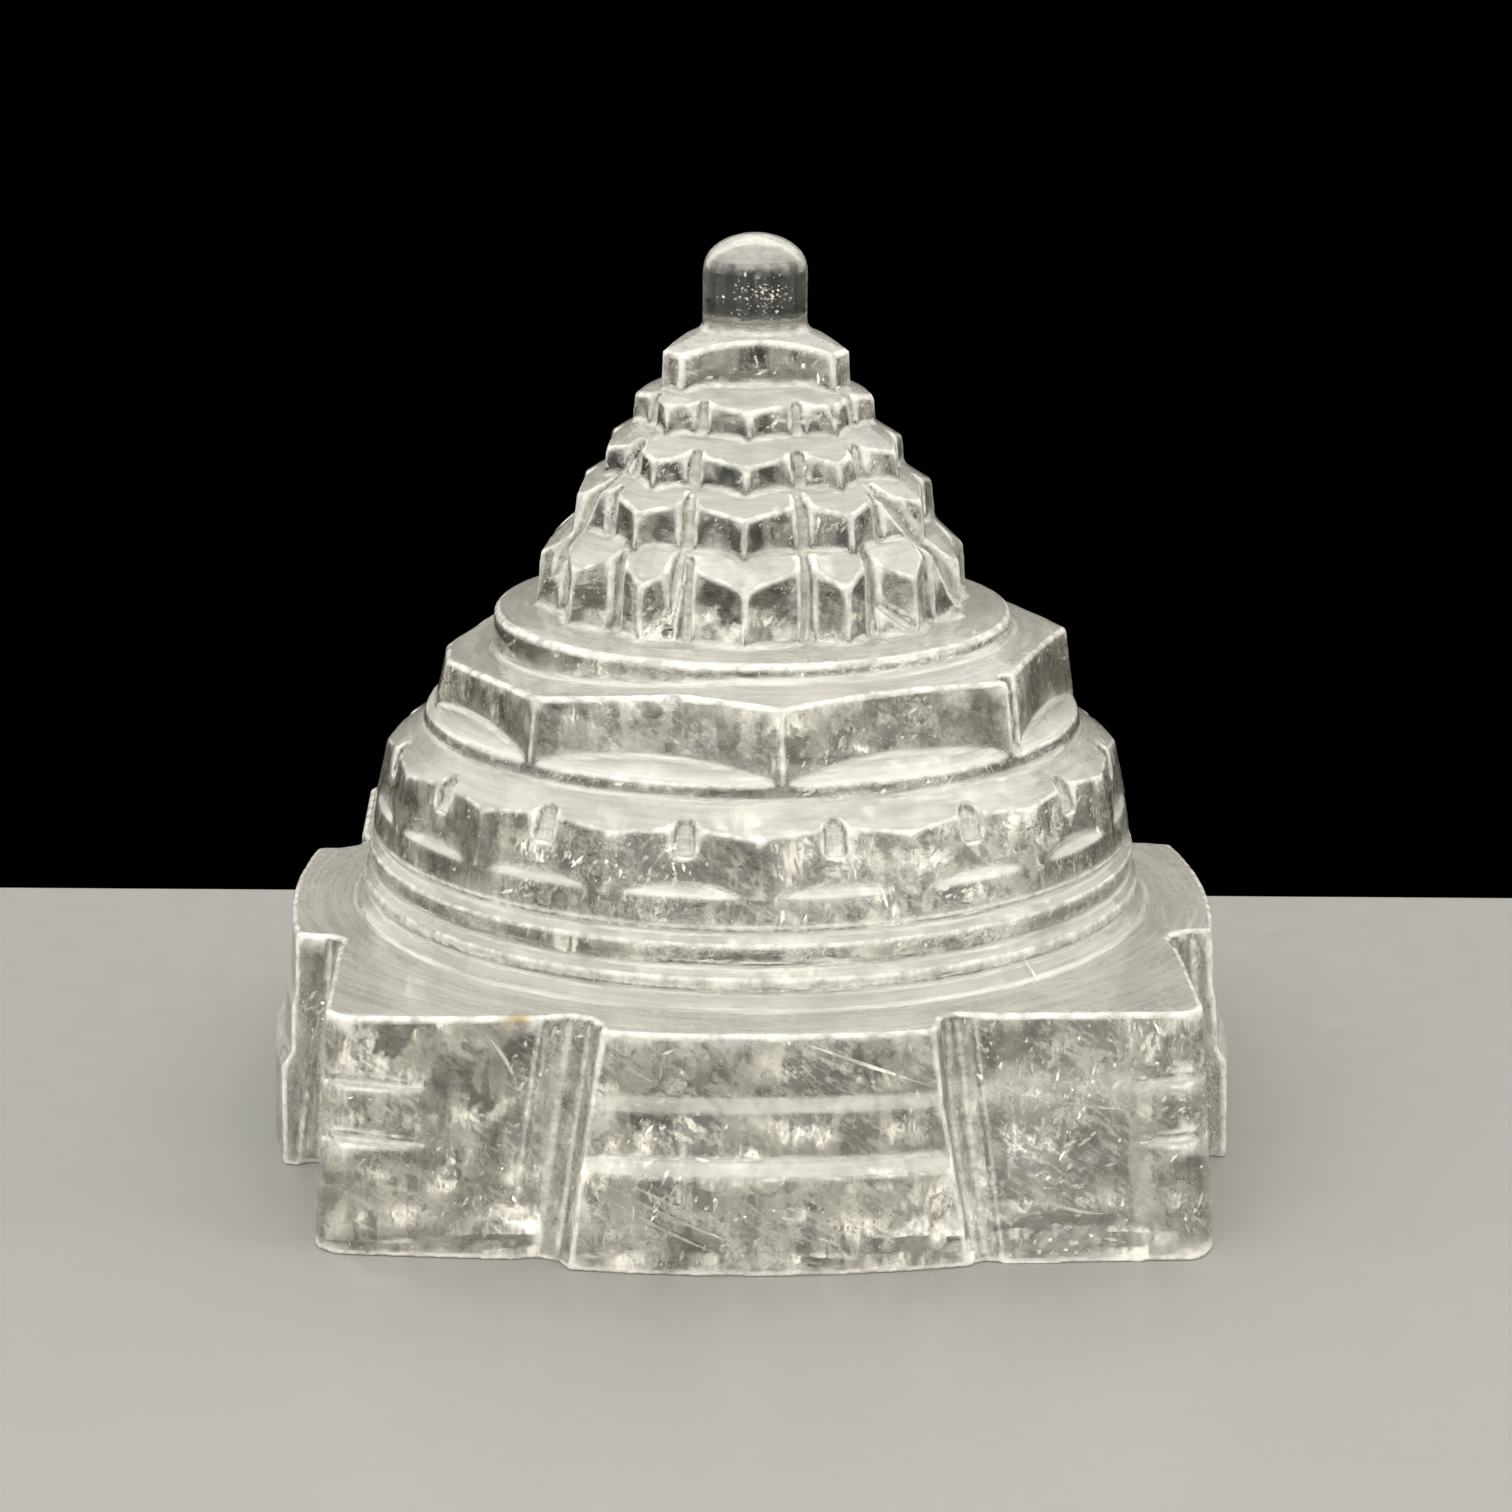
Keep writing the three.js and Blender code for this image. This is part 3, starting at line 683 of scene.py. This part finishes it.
def quartz():
    """Clear quartz: polished faces, ledges streaked by the wheel, milky grooves, pale worn edges."""
    n = Nodes("quartz")
    edge, groove, ledge = n.attribute("edge"), n.attribute("groove"), n.attribute("ledge")
    grain = n.noise(0.22 * MM)
    cloud = n.ramp(n.noise(6 * MM, detail=4.0, rough=0.6), 0.46, 0.72)
    streaks = n.ground(across=0.45 * MM, along=5 * MM, detail=4.0, rough=0.7)
    frost = n.math("MULTIPLY", ledge, n.ramp(streaks, 0.36, 0.64, low=0.70, high=1.0))

    tint = n.mix(n.noise(12 * MM), *QUARTZ_TINTS)
    stain = n.ramp(n.noise(0.7 * MM, detail=4.0, rough=0.7), 0.42, 0.60)
    iron = n.math("MULTIPLY", n.near(IRON_PLACE, IRON_REACH), stain)
    tint = n.mix(iron, tint, IRON_TINT)
    n.set(n.shader.inputs["Base Color"], tint)

    chips = n.ramp(n.noise(0.9 * MM, detail=3.0, rough=0.6), 0.35, 0.6, low=0.35, high=0.78)
    worn = n.math("MULTIPLY", edge, chips)
    ground = n.math("MULTIPLY", groove, n.ramp(streaks, 0.36, 0.64, low=0.28, high=0.62))
    milk = n.math("MAXIMUM", worn, ground)
    milk = n.math("MAXIMUM", milk, n.math("MULTIPLY", frost, LEDGE_MILK))
    milk = n.math("MAXIMUM", milk, n.math("MULTIPLY", iron, IRON_MILK))
    milk = n.math("ADD", milk, n.math("MULTIPLY", cloud, CLOUD_MILK))
    n.set(n.shader.inputs["Transmission Weight"], n.math("SUBTRACT", CLEAREST, milk, clamp=True))

    rough = n.math("ADD", n.math("MULTIPLY", groove, 0.06), n.math("MULTIPLY", edge, 0.06))
    rough = n.math("ADD", rough, n.math("MULTIPLY", frost, 0.02))
    rough = n.math("MULTIPLY", rough, n.ramp(grain, 0.3, 0.7, low=0.6, high=1.3))
    polish = n.ramp(n.noise(5 * MM, detail=3.0), 0.4, 0.7, low=0.005, high=0.02)
    n.set(n.shader.inputs["Roughness"], n.math("ADD", rough, polish))
    n.shader.inputs["IOR"].default_value = QUARTZ_IOR

    ripples = n.noise(1.1 * MM, detail=3.0, rough=0.55, stretch=(1.0, 1.0, 0.42))
    normal = n.bump(ripples, distance=0.030 * MM, strength=0.8)
    scratches = n.math("MULTIPLY", streaks, ledge)
    normal = n.bump(scratches, distance=0.018 * MM, strength=0.8, normal=normal)
    n.set(n.shader.inputs["Normal"], normal)
    return n.material


def veil_finish_with_painted_shade():
    """A healed fracture: a silvery skin in pale upright bands, and crinkled dark bands of painted shade
    that stand in for the dark seen through clear quartz.
    """
    n = Nodes("veil_and_painted_shade")
    zones = n.ramp(n.noise(3.0 * MM, detail=4.0, rough=0.6), 0.42, 0.48)
    bands = n.noise(1.5 * MM, detail=5.0, rough=0.62, stretch=(1.0, 1.0, 5.0))
    bands = n.ramp(bands, 0.465, 0.515)
    crinkle = n.noise(0.50 * MM, detail=5.0, rough=0.72, stretch=(2.4, 1.0, 0.7), lean=0.6)
    crinkle = n.ramp(crinkle, 0.49, 0.56)
    cover = n.math("MULTIPLY", zones, n.attribute("cover"))
    n.set(n.shader.inputs["Alpha"], n.math("MULTIPLY", cover, VEIL_COVER))
    # The dark bands are painted shade: a dark tint where clear quartz would show the dark beyond it.
    painted_shade, pale = n.mix(crinkle, *VEIL_PAINTED_SHADE_TINTS), n.mix(crinkle, *VEIL_PALE_TINTS)
    n.set(n.shader.inputs["Base Color"], n.mix(bands, painted_shade, pale))
    rough = n.ramp(n.noise(0.5 * MM), 0.3, 0.7, low=0.12, high=0.30)
    n.set(n.shader.inputs["Roughness"], rough)
    n.shader.inputs["Metallic"].default_value = 1.0
    folds = n.noise(0.8 * MM, stretch=(1.0, 1.0, 2.5))
    n.set(n.shader.inputs["Normal"], n.bump(folds, distance=0.08 * MM))
    return n.material


def flake_finish():
    """Flakes and fracture lines: pale, and silvery in places."""
    n = Nodes("flake")
    n.set(n.shader.inputs["Base Color"], n.mix(n.noise(1.3 * MM), *FLAKE_TINTS))
    rough = n.ramp(n.noise(0.7 * MM), 0.3, 0.7, low=0.08, high=0.35)
    n.set(n.shader.inputs["Roughness"], rough)
    silver = n.ramp(n.noise(0.9 * MM), 0.4, 0.6, low=0.0, high=0.8)
    n.set(n.shader.inputs["Metallic"], silver)
    return n.material


def floor_finish():
    """A plain pale board."""
    n = Nodes("pale_board")
    n.set(n.shader.inputs["Base Color"], n.mix(n.noise(30 * MM, detail=3.0), *FLOOR_TINTS))
    rough = n.ramp(n.noise(2 * MM, detail=3.0), 0.3, 0.7, low=0.34, high=0.42)
    n.set(n.shader.inputs["Roughness"], rough)
    grain = n.noise(0.5 * MM, detail=3.0)
    n.set(n.shader.inputs["Normal"], n.bump(grain, distance=0.02 * MM, strength=0.3))
    return n.material


# Stage, light and camera

# The floor ends behind the stone, where the dark backdrop starts, and lies a hair under it.
FLOOR_LEFT, FLOOR_RIGHT = -0.5, 0.5
FLOOR_FRONT, FLOOR_BACK = -0.6, 0.037
FLOOR_HEIGHT = -0.02 * MM

# Soft boxes: name, place, width, height and brightness. They all face one point in the stone.
LIGHTS = (
    ("key", (-0.22, -0.42, 0.34), 0.50, 0.36, 1.7),
    ("fill", (0.42, -0.15, 0.25), 0.20, 0.30, 1.0),
    ("back", (0.05, 0.40, 0.30), 0.50, 0.20, 1.0),
)
LIGHT_AIM = (0, 0, 0.02)

# The panels that stand round the room: how many, how far they are turned, where their wave goes
# from dark to bright, what still shines between them and how bright they are
PANELS = 7
PANEL_PHASE = 0.6
PANEL_EDGE = (-0.35, 0.15)
PANEL_GAP = 0.16
PANEL_GLOW = 1.72

# The dark backdrop reaches this far to each side of +Y, in radians. The ceiling starts at one
# height on the unit sphere, and the room is dark under the horizon.
BACKDROP = 0.60
BACKDROP_BLUR = 0.1
BACKDROP_SHADE = 0.03
CEILING_EDGE = (0.55, 0.70)
HORIZON = (-0.07, 0.03)
UNDER_HORIZON = 0.0015
ROOM_TINT = (1.0, 0.975, 0.905, 1)


def floor():
    corners = [
        (FLOOR_LEFT, FLOOR_FRONT, 0),
        (FLOOR_RIGHT, FLOOR_FRONT, 0),
        (FLOOR_RIGHT, FLOOR_BACK, 0),
        (FLOOR_LEFT, FLOOR_BACK, 0),
    ]
    mesh = bpy.data.meshes.new("floor")
    mesh.from_pydata(corners, [], [(0, 1, 2, 3)])
    mesh.materials.append(floor_finish())
    made = link(bpy.data.objects.new("floor", mesh))
    made.location.z = FLOOR_HEIGHT
    made.rotation_euler.z = CAMERA_TURN


def soft_light(name, place, width, height, brightness):
    """A rectangular soft box that faces the stone; brightness is the radiance of its face."""
    data = bpy.data.lights.new(name, "AREA")
    data.shape = "RECTANGLE"
    data.size, data.size_y = width, height
    data.energy = brightness * math.pi * width * height
    made = link(bpy.data.objects.new(name, data))
    made.location = place
    forward = Vector(LIGHT_AIM) - Vector(place)
    made.rotation_euler = forward.to_track_quat("-Z", "Y").to_euler()


def studio():
    """White panels at the sides, a pale ceiling and a dark backdrop, and dark below the horizon."""
    world = bpy.data.worlds.new("studio")
    world.use_nodes = True
    tree = world.node_tree

    def calculate(operation, a, b=0.0):
        made = tree.nodes.new("ShaderNodeMath")
        made.operation = operation
        for socket, value in zip(made.inputs, (a, b)):
            if isinstance(value, bpy.types.NodeSocket):
                tree.links.new(value, socket)
            else:
                socket.default_value = value
        return made.outputs[0]

    def ramp(value, start, end, low, high):
        made = tree.nodes.new("ShaderNodeMapRange")
        made.interpolation_type = "SMOOTHSTEP"
        tree.links.new(value, made.inputs["Value"])
        for name, number in (("From Min", start), ("From Max", end), ("To Min", low), ("To Max", high)):
            made.inputs[name].default_value = number
        return made.outputs[0]

    split = tree.nodes.new("ShaderNodeSeparateXYZ")
    tree.links.new(tree.nodes.new("ShaderNodeTexCoord").outputs["Generated"], split.inputs[0])
    x, y, z = split.outputs
    bearing = calculate("ARCTAN2", x, y)
    turns = calculate("MULTIPLY", bearing, PANELS)
    wave = calculate("SINE", calculate("ADD", turns, PANEL_PHASE))
    panel = ramp(wave, *PANEL_EDGE, low=PANEL_GAP, high=1.0)
    aside = calculate("ABSOLUTE", bearing)
    edge = (BACKDROP - BACKDROP_BLUR, BACKDROP + BACKDROP_BLUR)
    beside = ramp(aside, *edge, low=BACKDROP_SHADE, high=1.0)
    panel = calculate("MULTIPLY", panel, beside)
    ceiling = ramp(z, *CEILING_EDGE, low=0.0, high=1.0)
    pale = calculate("MAXIMUM", panel, ceiling)
    above = ramp(z, *HORIZON, low=UNDER_HORIZON, high=1.0)
    glow = calculate("MULTIPLY", calculate("MULTIPLY", pale, above), PANEL_GLOW)
    background = tree.nodes["Background"]
    background.inputs["Color"].default_value = ROOM_TINT
    tree.links.new(glow, background.inputs["Strength"])
    bpy.context.scene.world = world


def camera():
    """The photograph's camera, which looks at the axis from the front and a little above."""
    level, drop = math.cos(CAMERA_ELEVATION), math.sin(CAMERA_ELEVATION)
    forward = Vector((-math.sin(CAMERA_TURN) * level, math.cos(CAMERA_TURN) * level, -drop))
    right = forward.cross(Vector((0, 0, 1))).normalized()
    up = right.cross(forward)
    place = Vector((0, 0, AIM_HEIGHT)) - forward * CAMERA_DISTANCE + right * AIM_SIDEWAYS
    turned = Matrix.Rotation(CAMERA_ROLL, 3, forward)
    right, up = turned @ right, turned @ up
    data = bpy.data.cameras.new("camera")
    data.sensor_width = SENSOR_SIDE
    data.lens = FOCAL_PIXELS / IMAGE_SIDE * SENSOR_SIDE
    data.clip_start, data.clip_end = NEAREST_SEEN, FARTHEST_SEEN
    made = link(bpy.data.objects.new("camera", data))
    made.matrix_world = Matrix((
        (right.x, up.x, -forward.x, place.x),
        (right.y, up.y, -forward.y, place.y),
        (right.z, up.z, -forward.z, place.z),
        (0, 0, 0, 1),
    ))
    bpy.context.scene.camera = made


# The scene

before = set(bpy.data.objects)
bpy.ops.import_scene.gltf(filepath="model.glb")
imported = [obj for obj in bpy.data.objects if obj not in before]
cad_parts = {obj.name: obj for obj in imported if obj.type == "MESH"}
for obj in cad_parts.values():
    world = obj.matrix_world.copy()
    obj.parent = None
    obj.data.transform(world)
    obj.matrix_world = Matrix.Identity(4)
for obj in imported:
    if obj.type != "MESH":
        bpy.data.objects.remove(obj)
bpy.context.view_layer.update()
low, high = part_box("crystal_meru")

stone = cut_stone(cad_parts["crystal_meru"], low, high)
stone.data.materials.clear()
stone.data.materials.append(quartz())
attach(stone, "root")
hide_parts("crystal_meru")

inside = Inside(stone)
inner_veils_with_painted_shade(inside)
flakes(inside, stone.data, low, high)
threads(inside)

floor()
studio()
for light in LIGHTS:
    soft_light(*light)
camera()

bpy.context.scene.view_settings.view_transform = "Standard"
bpy.context.scene.cycles.glossy_bounces = 12
bpy.context.scene.cycles.transmission_bounces = 16
bpy.context.scene.cycles.max_bounces = 20
